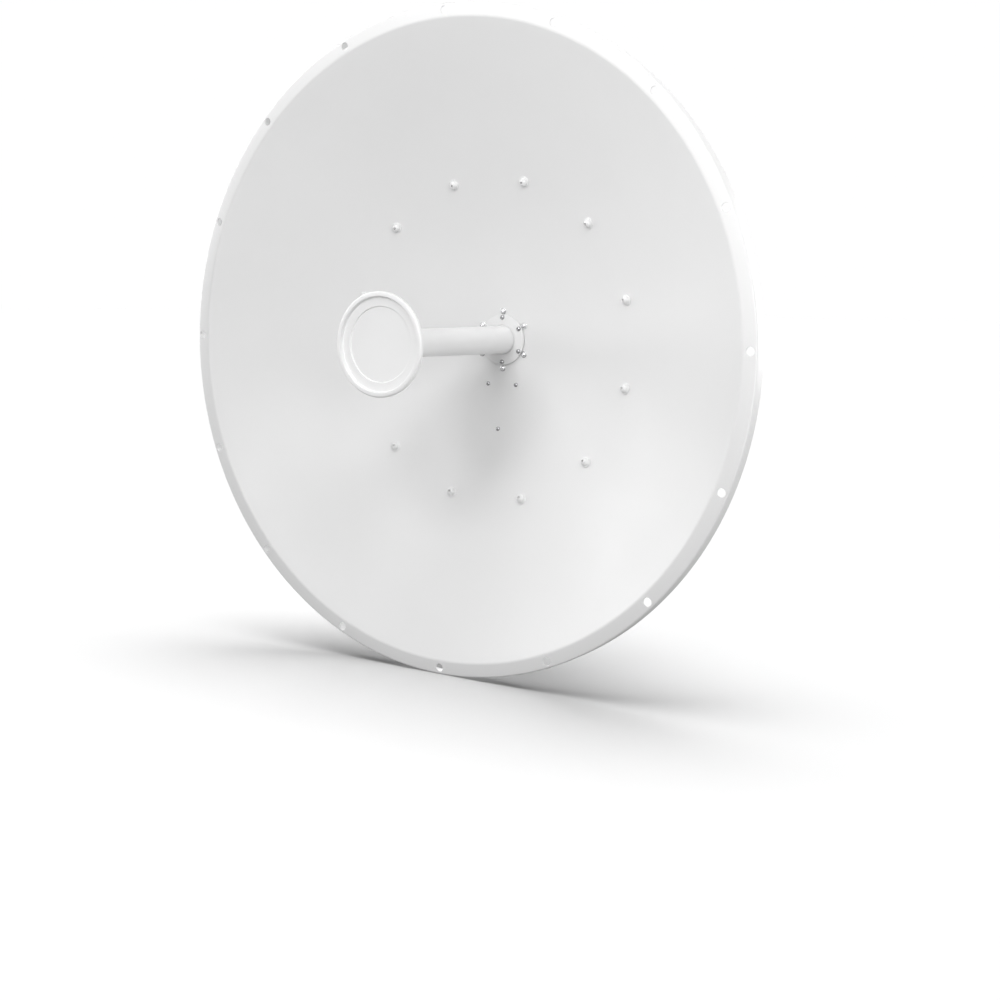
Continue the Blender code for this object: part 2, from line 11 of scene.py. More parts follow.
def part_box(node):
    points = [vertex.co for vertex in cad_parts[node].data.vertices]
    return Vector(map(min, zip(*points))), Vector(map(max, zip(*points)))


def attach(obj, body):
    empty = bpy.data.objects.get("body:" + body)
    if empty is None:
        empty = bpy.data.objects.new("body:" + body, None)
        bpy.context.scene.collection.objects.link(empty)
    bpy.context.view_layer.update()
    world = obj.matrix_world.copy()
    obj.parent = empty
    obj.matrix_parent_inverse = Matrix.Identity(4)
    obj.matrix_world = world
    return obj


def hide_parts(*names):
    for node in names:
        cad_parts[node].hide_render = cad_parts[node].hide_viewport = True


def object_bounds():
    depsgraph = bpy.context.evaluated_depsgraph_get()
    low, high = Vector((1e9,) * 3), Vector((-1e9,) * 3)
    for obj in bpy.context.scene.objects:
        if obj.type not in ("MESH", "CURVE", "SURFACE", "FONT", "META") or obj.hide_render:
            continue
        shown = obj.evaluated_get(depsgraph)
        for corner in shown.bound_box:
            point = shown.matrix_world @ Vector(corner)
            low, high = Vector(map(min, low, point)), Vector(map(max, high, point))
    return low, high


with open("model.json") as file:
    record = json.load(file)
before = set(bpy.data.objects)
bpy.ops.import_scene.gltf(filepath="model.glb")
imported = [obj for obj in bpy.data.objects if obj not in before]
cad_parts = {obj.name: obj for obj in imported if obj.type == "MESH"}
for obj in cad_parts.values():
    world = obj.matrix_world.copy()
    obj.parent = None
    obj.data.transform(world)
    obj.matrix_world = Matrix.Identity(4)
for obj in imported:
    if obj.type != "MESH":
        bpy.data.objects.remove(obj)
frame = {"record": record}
cad_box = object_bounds()

# The dish, whose rim is read from the frame
RIM_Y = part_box("reflector")[0].y
RIM_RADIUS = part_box("reflector")[1].x
RIM_FLANGE = 0.022
BOWL_DEPTH = 0.180
SHEET = 0.002
LIP_DEPTH = 0.0235
LIP_BEND = 0.003
BOWL_BEND = 0.009
CENTRE_HOLE_RADIUS = 0.026
RIM_HOLES = 16
RIM_HOLE_CIRCLE = 0.5147
RIM_HOLE_RADIUS = 0.0065
BOWL_RADIUS = RIM_RADIUS - RIM_FLANGE
FOCAL_LENGTH = BOWL_RADIUS**2 / (4 * BOWL_DEPTH)
VERTEX_Y = RIM_Y + BOWL_DEPTH

# Fasteners on the dish
RING_BOLTS = 12
RING_BOLT_CIRCLE = 0.2653
HUB_SCREWS = 6
HUB_INNER_CIRCLE = 0.0373
HUB_OUTER_CIRCLE = 0.0475
PLATE_SCREWS = ((-0.0275, -0.0745), (0.0275, -0.0745), (0, -0.1485))

# Sheets behind the dish, and the places of their bolts
RING_SHEET = 0.0025
CHANNEL_SHEET = 0.0025
CHEEK_SHEET = 0.003
BRACKET_SHEET = 0.004
CLAMP_SHEET = 0.004
CHANNEL_BOLT_Z = 0.206
CHEEK_BOLTS_Z = (-0.085, 0.0, 0.085)
SADDLE_BOLT_Z = 0.052

# Threads, each a radius and a pitch, and the radii of the holes for two of them
M4 = (0.0020, 0.0007)
M6 = (0.0030, 0.0010)
M8 = (0.0040, 0.00125)
M10 = (0.0050, 0.0015)
M12 = (0.0060, 0.00175)
CONNECTOR = (0.0042, 0.0007)
M10_HOLE = 0.0053
M12_HOLE = 0.0063

# A bolt's washers and hexagons: a thickness, and sizes as multiples of the thread's radius
WASHER = 0.0020
WASHER_RADIUS = 2
HEX_CORNER = 1.85
HEX_HEIGHT = 1.6

# Where the photograph was taken from, and its lens
CAMERA_PLACE = Vector((1.254, RIM_Y - 1.774, 0.072))
CAMERA_YAW = math.radians(32.84)
CAMERA_PITCH = math.radians(-2.62)
CAMERA_ROLL = math.radians(0.51)
LENS = 50
FILM_WIDTH = 36
LENS_SHIFT = -0.14

# Directions in the frame, the turn that takes +Z to the front, and small distances
FRONT = Vector((0, -1, 0))
BACK = Vector((0, 1, 0))
RIGHT = Vector((1, 0, 0))
UP = Vector((0, 0, 1))
ON_AXIS = Matrix.Rotation(math.radians(90), 4, "X")
TINY = 1e-6
SEAT = 0.0001
GAP = 0.0003
EDGE = 0.0005
THROUGH = 0.006


# Materials

# The noise values at the two ends of a finish's range
COLOUR_NOISE = (0.35, 0.65)
ROUGHNESS_NOISE = (0.3, 0.7)


def grey(value):
    return (value,) * 3


def new_material(name, colour, roughness, metallic=0.0):
    material = bpy.data.materials.new(name)
    material.use_nodes = True
    shader = material.node_tree.nodes["Principled BSDF"]
    shader.inputs["Base Color"].default_value = (*colour, 1)
    shader.inputs["Roughness"].default_value = roughness
    shader.inputs["Metallic"].default_value = metallic
    return material


def add_node(material, kind, **sockets):
    node = material.node_tree.nodes.new(kind)
    for name, value in sockets.items():
        node.inputs[name.replace("_", " ")].default_value = value
    return node


def link_shader(material, output, socket):
    shader = material.node_tree.nodes["Principled BSDF"]
    material.node_tree.links.new(output, shader.inputs[socket])


def noise(material, scale, detail=3.0):
    """Noise in the frame's own coordinates."""
    tree = material.node_tree
    place = tree.nodes.get("Place") or add_node(material, "ShaderNodeTexCoord")
    place.name = "Place"
    node = add_node(material, "ShaderNodeTexNoise", Scale=scale, Detail=detail)
    tree.links.new(place.outputs["Object"], node.inputs["Vector"])
    return node.outputs["Fac"]


def vary_colour(material, source, dark, light):
    ramp = add_node(material, "ShaderNodeValToRGB")
    for stop, position, colour in zip(ramp.color_ramp.elements, COLOUR_NOISE, (dark, light)):
        stop.position = position
        stop.color = (*colour, 1)
    material.node_tree.links.new(source, ramp.inputs["Fac"])
    link_shader(material, ramp.outputs["Color"], "Base Color")


def vary_roughness(material, source, low, high):
    spread = add_node(material, "ShaderNodeMapRange", To_Min=low, To_Max=high)
    spread.inputs["From Min"].default_value = ROUGHNESS_NOISE[0]
    spread.inputs["From Max"].default_value = ROUGHNESS_NOISE[1]
    material.node_tree.links.new(source, spread.inputs["Value"])
    link_shader(material, spread.outputs["Result"], "Roughness")


def add_bump(material, source, strength, distance):
    bump = add_node(material, "ShaderNodeBump", Strength=strength, Distance=distance)
    material.node_tree.links.new(source, bump.inputs["Height"])
    link_shader(material, bump.outputs["Normal"], "Normal")


def paint_material():
    """White powder coat: satin, with the fine ripple that such a coat has."""
    material = new_material("white_powder_coat", grey(0.80), roughness=0.42)
    vary_colour(material, noise(material, scale=3.0), dark=grey(0.79), light=grey(0.81))
    vary_roughness(material, noise(material, scale=9.0), low=0.38, high=0.46)
    add_bump(material, noise(material, scale=420.0, detail=2.0), strength=0.10, distance=0.0004)
    return material


def plastic_material():
    """White moulded plastic of the feed."""
    material = new_material("white_feed_plastic", grey(0.86), roughness=0.34)
    vary_colour(material, noise(material, scale=14.0), dark=grey(0.85), light=grey(0.87))
    vary_roughness(material, noise(material, scale=25.0), low=0.30, high=0.38)
    add_bump(material, noise(material, scale=900.0, detail=2.0), strength=0.06, distance=0.0002)
    return material


def bracket_material():
    """Light grey powder coat on the sheet metal behind the dish."""
    material = new_material("grey_powder_coat", (0.66, 0.67, 0.68), roughness=0.5)
    vary_colour(material, noise(material, scale=12.0), dark=(0.64, 0.65, 0.66), light=(0.68, 0.69, 0.70))
    add_bump(material, noise(material, scale=700.0, detail=2.0), strength=0.15, distance=0.0003)
    return material


def aluminium_material():
    material = new_material("cast_aluminium", (0.70, 0.71, 0.72), roughness=0.4, metallic=1.0)
    vary_roughness(material, noise(material, scale=120.0), low=0.32, high=0.5)
    return material


def zinc_material():
    """Cloudy zinc plate on bolts, nuts and studs."""
    material = new_material("zinc_plate", (0.58, 0.59, 0.61), roughness=0.35, metallic=1.0)
    vary_colour(material, noise(material, scale=90.0), dark=(0.52, 0.53, 0.56), light=(0.63, 0.64, 0.65))
    vary_roughness(material, noise(material, scale=160.0), low=0.26, high=0.44)
    return material


def steel_material(name, colour):
    """Smooth steel of the small screws: a bright copy, and a darker copy that has painted shade and
    painted dim reflections in its colour.
    """
    material = new_material(name, colour, roughness=0.18, metallic=1.0)
    vary_roughness(material, noise(material, scale=300.0), low=0.12, high=0.24)
    return material


def white_metal_material():
    """White coated metal: the bolts on the dish and the feed's flange."""
    material = new_material("white_coated_metal", grey(0.80), roughness=0.34)
    vary_roughness(material, noise(material, scale=220.0), low=0.28, high=0.42)
    return material


MATERIALS = {
    "dish_paint": paint_material(),
    "feed_plastic": plastic_material(),
    "bracket_paint": bracket_material(),
    "aluminium": aluminium_material(),
    "zinc": zinc_material(),
    "steel": steel_material("stainless_steel", (0.74, 0.74, 0.75)),
    # A darker copy of the same steel: painted shade and dim reflections for the screws by the feed's tube
    "painted_shade_steel": steel_material("steel_with_painted_shade", (0.40, 0.40, 0.41)),
    "white_metal": white_metal_material(),
}


# Making pieces

SLOTS = {part["node"]: part["material_slot"] for part in frame["record"]["subparts"]}
SHARP = math.radians(30)


def shade(mesh):
    mesh.shade_smooth()
    mesh.set_sharp_from_angle(angle=SHARP)


def finish_piece(name, mesh, slot, material=None):
    """Puts a mesh in the scene as a piece of the antenna."""
    mesh.name = name
    obj = bpy.data.objects.new(name, mesh)
    bpy.context.scene.collection.objects.link(obj)
    mesh.materials.append(MATERIALS[material or slot])
    shade(mesh)
    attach(obj, "root")
    return obj


def stand_in(node, ending, mesh, material=None):
    """A piece that stands for a node and hides the node's part. Its finish is that of the node's slot
    unless another is given, and its name is the node's with an ending.
    """
    obj = finish_piece(f"{node}_{ending}", mesh, SLOTS[node], material)
    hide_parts(node)
    return obj


def to_mesh(shape):
    bmesh.ops.recalc_face_normals(shape, faces=shape.faces)
    mesh = bpy.data.meshes.new("piece")
    shape.to_mesh(mesh)
    shape.free()
    return mesh


def add_part(shape, place, part):
    """Moves one shape to its place in another."""
    bmesh.ops.transform(part, matrix=place, verts=part.verts)
    mesh = bpy.data.meshes.new("part")
    part.to_mesh(mesh)
    part.free()
    shape.from_mesh(mesh)
    bpy.data.meshes.remove(mesh)


def along(direction, location):
    """The matrix that takes +Z to a direction and the origin to a location."""
    turn = direction.to_track_quat("Z", "Y").to_matrix().to_4x4()
    return Matrix.Translation(location) @ turn


def raised(place, height):
    return place @ Matrix.Translation((0, 0, height))


def middle_of(node):
    low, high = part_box(node)
    return (low + high) / 2


def arc(centre, radius, start, end, steps):
    """Points on an arc, from one angle to another in degrees."""
    points = []
    for i in range(steps + 1):
        angle = math.radians(start + (end - start) * i / steps)
        points.append((centre[0] + radius * math.cos(angle), centre[1] + radius * math.sin(angle)))
    return points


def filleted(corners, steps=4):
    """A profile from corners of (radius, y, fillet), with an arc where a fillet is given."""
    points = []
    for i, (x, y, fillet) in enumerate(corners):
        if not fillet:
            points.append((x, y))
            continue
        here = Vector((x, y))
        before = (Vector(corners[i - 1][:2]) - here).normalized()
        after = (Vector(corners[(i + 1) % len(corners)][:2]) - here).normalized()
        half = before.angle(after) / 2
        centre = here + (before + after).normalized() * (fillet / math.sin(half))
        start = here + before * (fillet / math.tan(half)) - centre
        end = here + after * (fillet / math.tan(half)) - centre
        turn = start.angle_signed(end)
        for step in range(steps + 1):
            spin = Matrix.Rotation(-turn * step / steps, 2)
            points.append(tuple(centre + spin @ start))
    return points


def add_turned(shape, place, profile, segments, closed=False):
    """Adds a profile of (radius, height) turned about +Z of its place."""
    rings = []
    for radius, height in profile:
        ring = []
        for i in range(1 if radius < TINY else segments):
            angle = 2 * math.pi * i / segments
            point = Vector((radius * math.cos(angle), radius * math.sin(angle), height))
            ring.append(shape.verts.new(place @ point))
        rings.append(ring)
    join_rings(shape, rings, closed)


def join_rings(shape, rings, closed=False):
    """Faces from each ring of points to the next. A ring of one point is a pole."""
    segments = max(len(ring) for ring in rings)
    pairs = list(zip(rings, rings[1:]))
    if closed:
        pairs.append((rings[-1], rings[0]))
    for first, second in pairs:
        for i in range(segments):
            j = (i + 1) % segments
            corners = [first[i % len(first)], first[j % len(first)]]
            corners += [second[j % len(second)], second[i % len(second)]]
            shape.faces.new(list(dict.fromkeys(corners)))


def turned_on_axis(node, ending, profile, segments, closed=False, material=None):
    """A piece turned about the dish's axis, from a profile of (radius, y), that stands for a node."""
    shape = bmesh.new()
    add_turned(shape, ON_AXIS, [(radius, -y) for radius, y in profile], segments, closed)
    return stand_in(node, ending, to_mesh(shape), material)


def cut(obj, mesh):
    """Takes a mesh away from a piece for good."""
    helper = bpy.data.objects.new("cutter", mesh)
    bpy.context.scene.collection.objects.link(helper)
    modifier = obj.modifiers.new("cut", "BOOLEAN")
    modifier.object = helper
    modifier.operation = "DIFFERENCE"
    modifier.solver = "EXACT"
    bpy.context.view_layer.update()
    graph = bpy.context.evaluated_depsgraph_get()
    result = bpy.data.meshes.new_from_object(obj.evaluated_get(graph))
    obj.modifiers.remove(modifier)
    old = obj.data
    obj.data = result
    result.name = obj.name
    bpy.data.meshes.remove(old)
    bpy.data.objects.remove(helper)
    bpy.data.meshes.remove(mesh)
    shade(result)


def bore_through(obj, centres, radius, direction, reach=THROUGH):
    """Cuts round holes along one direction, each of the reach given to both sides of its centre."""
    cutter = bmesh.new()
    for centre in centres:
        ends = [(0, -reach), (radius, -reach), (radius, reach), (0, reach)]
        add_turned(cutter, along(direction, centre), ends, segments=32)
    cut(obj, to_mesh(cutter))


# The reflector

def dish_y(radius):
    return VERTEX_Y - radius**2 / (4 * FOCAL_LENGTH)


def dish_slope(radius):
    return math.atan(radius / (2 * FOCAL_LENGTH))


def dish_rear_y(radius):
    """Where the bowl's rear surface lies at this radius."""
    return dish_y(radius) + SHEET / math.cos(dish_slope(radius))


def bend_start():
    """The radius where the bowl ends and the bend to the flat rim begins."""
    low, high = 0.9 * BOWL_RADIUS, BOWL_RADIUS
    halvings = 40
    for _ in range(halvings):
        middle = (low + high) / 2
        if dish_y(middle) > RIM_Y + BOWL_BEND * (1 - math.cos(dish_slope(middle))):
            low = middle
        else:
            high = middle
    return low


def front_curve():
    """Points of the front surface with their outward direction, both as (radius, y)."""
    bowl_steps, bend_steps = 60, 8
    curve = []
    last = bend_start()
    for i in range(bowl_steps + 1):
        radius = CENTRE_HOLE_RADIUS + (last - CENTRE_HOLE_RADIUS) * i / bowl_steps
        slope = dish_slope(radius)
        curve.append(((radius, dish_y(radius)), (-math.sin(slope), -math.cos(slope))))
    slope = dish_slope(last)
    centre = (last + BOWL_BEND * math.sin(slope), RIM_Y + BOWL_BEND)
    for i in range(1, bend_steps + 1):
        angle = slope * (1 - i / bend_steps)
        normal = (-math.sin(angle), -math.cos(angle))
        curve.append(((centre[0] + BOWL_BEND * normal[0], centre[1] + BOWL_BEND * normal[1]), normal))
    return curve


def make_reflector():
    """The spun dish: its bowl, its flat rim with a ring of holes, and the lip turned back."""
    curve = front_curve()
    front = [point for point, normal in curve]
    rear = [(point[0] - SHEET * normal[0], point[1] - SHEET * normal[1]) for point, normal in curve]
    corner = (RIM_RADIUS - LIP_BEND, RIM_Y + LIP_BEND)
    outer = arc(corner, LIP_BEND, -90, 0, steps=6)
    inner = arc(corner, LIP_BEND - SHEET, 0, -90, steps=4)
    lip_end = (RIM_RADIUS - SHEET / 2, RIM_Y + LIP_DEPTH - SHEET / 2)
    tip = arc(lip_end, SHEET / 2, 0, 180, steps=6)
    profile = front + outer + tip + inner + list(reversed(rear))
    shell = turned_on_axis("reflector", "shell", profile, segments=256, closed=True)
    holes = []
    for i in range(RIM_HOLES):
        angle = 2 * math.pi * i / RIM_HOLES
        holes.append(Vector((RIM_HOLE_CIRCLE * math.cos(angle), RIM_Y, RIM_HOLE_CIRCLE * math.sin(angle))))
    bore_through(shell, holes, RIM_HOLE_RADIUS, FRONT, reach=0.008)


# The feed

def make_flange():
    """The round flange on the bowl, with a groove round the tube and a rim that stands clear."""
    low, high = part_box("feed_flange")
    radius = high.x
    spigot = 0.0255
    bore = 0.0209
    front = low.y
    back = front + 0.0034
    edge = 0.0003
    groove = 0.0232
    groove_end = groove + 0.0020
    groove_floor = front + 0.0014
    draft = 0.0004
    rim_back = back - 0.0016
    neck = radius - 0.0032
    neck_back = back - 0.0014
    foot = radius - 0.0044
    corners = [
        (bore, front, 0),
        (groove, front, 0),
        (groove + draft, groove_floor, edge),
        (groove_end - draft, groove_floor, edge),
        (groove_end, front, edge),
        (radius, front, 2 * edge),
        (radius, rim_back, edge),
        (neck, neck_back, 0),
        (foot, back, 0),
        (spigot, back, 0),
        (spigot, high.y, 0),
        (bore, high.y, 0),
    ]
    disc = filleted(corners)
    turned_on_axis("feed_flange", "disc", disc, segments=128, closed=True, material="white_metal")


def make_tube():
    """The tube on the axis, a little thinner at the cap than at the hub."""
    low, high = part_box("feed_tube")
    hub_radius = high.x
    cap_radius = 0.0210
    wall = 0.0025
    corners = [
        (cap_radius - wall, low.y, 0),
        (cap_radius, low.y, 0.0006),
        (hub_radius, high.y, 0.0018),
        (hub_radius - wall, high.y, 0),
    ]
    turned_on_axis("feed_tube", "body", filleted(corners), segments=96, closed=True)


def make_cap():
    """The round cover in front: a raised rim, a land inside it and a lower middle."""
    low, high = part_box("feed_cap")
    radius = high.x
    front = low.y
    rim_inner = 0.0709
    rim_draft = 0.0010
    step = 0.0566
    step_draft = 0.0008
    land = front + 0.0055
    centre = land + 0.0020
    side = front + 0.0062
    back_radius = 0.0738
    corners = [
        (0, centre, 0),
        (step - step_draft, centre, 0.0006),
        (step, land, 0.0006),
        (rim_inner - rim_draft, land, 0.0010),
        (rim_inner, front, 0.0012),
        (radius, front, 0.0032),
        (radius, side, 0.0015),
        (back_radius, high.y, 0.0008),
        (0, high.y, 0),
    ]
    turned_on_axis("feed_cap", "cover", filleted(corners, steps=6), segments=160)


def make_cone():
    """The back of the cap, with the collar round the tube."""
    low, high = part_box("feed_cone")
    radius = high.x
    edge_back = low.y + 0.0020
    collar = 0.0270
    socket = 0.0216
    tube_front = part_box("feed_tube")[0].y
    collar_root = tube_front + 0.0040
    corners = [
        (0, low.y, 0),
        (radius, low.y, 0.0004),
        (radius, edge_back, 0.0004),
        (collar, collar_root, 0.0030),
        (collar, high.y, 0.0010),
        (socket, high.y, 0),
        (socket, tube_front - GAP, 0),
        (0, tube_front - GAP, 0),
    ]
    turned_on_axis("feed_cone", "body", filleted(corners), segments=128)


# Screws, bolts and nuts

def add_button_screw(shape, place, radius, height, socket):
    """A domed head with a round socket, on a plane at height 0."""
    dome_end = 68
    top = height / math.sin(math.radians(dome_end))
    dome = [(radius * x, top * y) for x, y in arc((0, 0), 1, 0, dome_end, steps=8)]
    mouth = min(0.9 * dome[-1][0], 0.62 * socket)
    wall = 0.56 * socket
    floor = 0.38 * height
    chamfer = 0.0002
    add_turned(shape, place, [(0, 0)] + dome + [(mouth, height)], segments=32)
    inside = [(mouth, height), (wall, height - chamfer), (wall, floor), (0, floor)]
    add_turned(shape, place, inside, segments=32)


def add_socket_screw(shape, place, radius, height, socket):
    """A cylinder head with a round socket that has a flat floor."""
    floor = 0.4 * height
    corners = [(0, 0, 0), (radius, 0, 0), (radius, height, 0.0004)]
    corners += [(0.6 * socket, height, 0.0001), (0.56 * socket, floor, 0), (0, floor, 0)]
    add_turned(shape, place, filleted(corners, steps=3), segments=32)


def add_pin(shape, place, radius, bottom, top, edge, segments):
    """A plain round pin between two heights, with rounded edges."""
    corners = [(0, bottom, 0), (radius, bottom, edge), (radius, top, edge), (0, top, 0)]
    add_turned(shape, place, filleted(corners, steps=3), segments)


def add_washer(shape, place, inner, outer, bottom, top):
    edge = 0.15 * (top - bottom)
    corners = [(inner, bottom, 0), (outer, bottom, edge), (outer, top, edge), (inner, top, 0)]
    add_turned(shape, place, filleted(corners, steps=2), segments=48, closed=True)


def add_hex(shape, place, corner, bottom, top):
    """A hexagonal head or nut with its corners turned off at both ends."""
    segments = 48
    chamfer = math.tan(math.radians(30))
    flat = corner * math.cos(math.radians(30))
    circle = 0.95 * flat
    rings = []
    for height, side in ((bottom, 0), (bottom, 1), (top, -1), (top, 0)):
        ring = []
        for i in range(segments):
            degrees = 360 * i / segments
            angle = math.radians(degrees)
            radius = flat / math.cos(math.radians(degrees % 60 - 30)) if side else circle
            drop = side * (radius - circle) * chamfer
            point = Vector((radius * math.cos(angle), radius * math.sin(angle), height + drop))
            ring.append(shape.verts.new(place @ point))
        rings.append(ring)
    join_rings(shape, rings)
    shape.faces.new(rings[0])
    shape.faces.new(rings[-1])


def add_thread(shape, place, thread, bottom, top, segments=24):
    """A threaded shank between two heights: crests and roots along a helix, chamfered at both ends."""
    radius, pitch = thread
    root = radius - 0.6 * pitch
    profile = ((0.0, root), (0.15, root), (0.5, radius), (0.65, radius))
    helix = bmesh.new()
    turns = math.ceil((top - bottom) / pitch) + 3
    rows = []
    for i in range(turns * segments):
        angle = 2 * math.pi * i / segments
        start = bottom + pitch * (i / segments - 1)
        row = []
        for share, wanted in profile:
            height = min(max(start + share * pitch, bottom), top)
            reach = min(wanted, root + top - height, root + height - bottom)
            row.append(helix.verts.new((reach * math.cos(angle), reach * math.sin(angle), height)))
        rows.append(row)
    for i in range((turns - 1) * segments - 1):
        for j in range(len(profile)):
            first, second, k = rows[i], rows[i + 1], j + 1
            if k == len(profile):
                first, second, k = rows[i + segments], rows[i + segments + 1], 0
            helix.faces.new((rows[i][j], rows[i + 1][j], second[k], first[k]))
    bmesh.ops.remove_doubles(helix, verts=helix.verts, dist=TINY)
    bmesh.ops.holes_fill(helix, edges=[edge for edge in helix.edges if edge.is_boundary], sides=0)
    add_part(shape, place, helix)


def add_bolt(shape, place, thread, head, nut, tip, plain=0.0):
    """A bolt on +Z of its place. Its washers bear at head and nut, and plain is its smooth shank."""
    radius = thread[0]
    under = head - WASHER
    add_washer(shape, place, radius, WASHER_RADIUS * radius, under, head)
    add_hex(shape, place, HEX_CORNER * radius, under - HEX_HEIGHT * radius, under)
    if plain:
        smooth = [(0, under), (radius, under), (radius, head + plain), (0, head + plain)]
        add_turned(shape, place, smooth, segments=32)
    add_thread(shape, place, thread, under + plain, tip)
    over = nut + WASHER
    add_washer(shape, place, radius, WASHER_RADIUS * radius, nut, over)
    add_hex(shape, place, HEX_CORNER * radius, over, over + HEX_HEIGHT * radius)


def add_nut(shape, place, thread, washer, hexagon, shank, segments=24):
    """A nut on its washer, each a radius and a top, and the end of its bolt, between two heights."""
    add_washer(shape, place, thread[0], washer[0], 0.0, washer[1])
    add_hex(shape, place, hexagon[0], washer[1], hexagon[1])
    add_thread(shape, place, thread, *shank, segments)


def bolt_piece(node, location, direction, thread, head, nut, tip, plain=0.0):
    """A bolt that stands for a node."""
    shape = bmesh.new()
    add_bolt(shape, along(direction, Vector(location)), thread, head, nut, tip, plain)
    stand_in(node, "threaded", to_mesh(shape))


# Fasteners on the dish

def on_dish(x, z):
    """The point of the bowl's front surface at x and z, and the direction out of it."""
    radius = math.hypot(x, z)
    slope = dish_slope(radius)
    point = Vector((x, dish_y(radius), z))
    inward = Vector((-x, 0, -z)) / radius
    return point, (inward * math.sin(slope) + FRONT * math.cos(slope)).normalized()


def ring_bolt_places():
    """The point of each ring bolt on the front of the bowl, and the direction out of it."""
    places = []
    for i in range(RING_BOLTS):
        angle = math.radians(360 * (i + 0.5) / RING_BOLTS)
        places.append(on_dish(RING_BOLT_CIRCLE * math.cos(angle), RING_BOLT_CIRCLE * math.sin(angle)))
    return places


def make_ring_bolts():
    """Twelve domed heads on thick washers."""
    shape = bmesh.new()
    radius, top = 0.0090, 0.0020
    washer = filleted([(0, SEAT, 0), (radius, SEAT, 0.0003), (radius, top, 0.0006), (0, top, 0)])
    for point, out in ring_bolt_places():
        place = along(out, point)
        add_turned(shape, place, washer, segments=40)
        add_button_screw(shape, raised(place, top), radius=0.0070, height=0.0064, socket=0.0040)
    finish_piece("ring_bolt_heads", to_mesh(shape), "dish_paint", material="white_metal")


def make_hub_screws():
    """Six screws on the feed's flange, darker with painted shade, and six bright ones with washers round
    it.
    """
    inner_screws, outer_screws = bmesh.new(), bmesh.new()
    flange_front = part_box("feed_flange")[0].y
    washer_radius, washer_top = 0.0054, 0.0011
    for i in range(HUB_SCREWS):
        angle = math.radians(90 + 360 * i / HUB_SCREWS)
        x, z = math.cos(angle), math.sin(angle)
        inner = Vector((HUB_INNER_CIRCLE * x, flange_front, HUB_INNER_CIRCLE * z))
        add_button_screw(inner_screws, along(FRONT, inner), radius=0.0040, height=0.0034, socket=0.0025)
        point, out = on_dish(HUB_OUTER_CIRCLE * x, HUB_OUTER_CIRCLE * z)
        place = along(out, point)
        add_washer(outer_screws, place, M4[0], washer_radius, SEAT, washer_top)
        head = raised(place, washer_top)
        add_button_screw(outer_screws, head, radius=0.0044, height=0.0036, socket=0.0025)
    # The inner screws take the steel copy with painted shade and dim reflections
    finish_piece("hub_inner_screws", to_mesh(inner_screws), "zinc", material="painted_shade_steel")
    finish_piece("hub_outer_screws", to_mesh(outer_screws), "zinc", material="steel")


def make_plate_screws():
    """The three small screws that hold the radio's bracket."""
    shape = bmesh.new()
    for x, z in PLATE_SCREWS:
        point, out = on_dish(x, z)
        add_button_screw(shape, along(out, point), radius=0.0037, height=0.0026, socket=0.0025)
    # These screws take the steel copy with painted shade and dim reflections
    finish_piece("plate_screw_heads", to_mesh(shape), "zinc", material="painted_shade_steel")


# Bent sheet and plates

def bent_outline(path, thickness, bend):
    """The outline of a bent sheet, from the corners of its middle line and the radius inside its bends."""
    steps = 6
    path = [Vector(corner) for corner in path]
    line = [(path[0], (path[1] - path[0]).normalized())]
    for before, here, after in zip(path, path[1:], path[2:]):
        way = (here - before).normalized()
        turn = way.angle_signed((after - here).normalized())
        radius = bend + thickness / 2
        start = here - way * (radius * math.tan(abs(turn) / 2))
        centre = start + Vector((way.y, -way.x)) * math.copysign(radius, turn)
        for step in range(steps + 1):
            spin = Matrix.Rotation(-turn * step / steps, 2)
            line.append((centre + spin @ (start - centre), spin @ way))
    line.append((path[-1], (path[-1] - path[-2]).normalized()))
    left = [point + Vector((-way.y, way.x)) * thickness / 2 for point, way in line]
    right = [point - Vector((-way.y, way.x)) * thickness / 2 for point, way in reversed(line)]
    outline = [(*point, 0) for point in left + right]
    for i in (0, len(left) - 1, len(left), len(outline) - 1):
        outline[i] = (outline[i][0], outline[i][1], EDGE)
    return filleted(outline, steps=2)


def add_plate(shape, place, loops, thickness):
    """Adds a flat outline with its holes, as thick as given about height 0, with rounded edges."""
    curve = bpy.data.curves.new("outline", "CURVE")
    curve.dimensions = "2D"
    curve.fill_mode = "BOTH"
    curve.extrude = thickness / 2 - EDGE
    curve.bevel_depth = EDGE
    curve.bevel_resolution = 1
    curve.offset = -EDGE
    for loop in loops:
        spline = curve.splines.new("POLY")
        spline.points.add(len(loop) - 1)
        for point, (x, y) in zip(spline.points, loop):
            point.co = (x, y, 0, 1)
        spline.use_cyclic_u = True
    guide = bpy.data.objects.new("outline", curve)
    bpy.context.scene.collection.objects.link(guide)
    bpy.context.view_layer.update()
    graph = bpy.context.evaluated_depsgraph_get()
    mesh = bpy.data.meshes.new_from_object(guide.evaluated_get(graph))
    bpy.data.objects.remove(guide)
    bpy.data.curves.remove(curve)
    part = bmesh.new()
    part.from_mesh(mesh)
    bpy.data.meshes.remove(mesh)
    bmesh.ops.remove_doubles(part, verts=part.verts, dist=TINY)
    add_part(shape, place, part)


def plate_piece(node, ending, place, loops, thickness):
    """A plate of one outline and its holes that stands for a node."""
    shape = bmesh.new()
    add_plate(shape, place, loops, thickness)
    return stand_in(node, ending, to_mesh(shape))


def bent_piece(node, path, sheet, bend, ending="bent"):
    """An upright bent sheet that stands for a node and is as high. Its path lies in plan."""
    low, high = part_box(node)
    place = Matrix.Translation((0, 0, (low.z + high.z) / 2))
    return plate_piece(node, ending, place, [bent_outline(path, sheet, bend)], high.z - low.z)


# The rear end of the feed

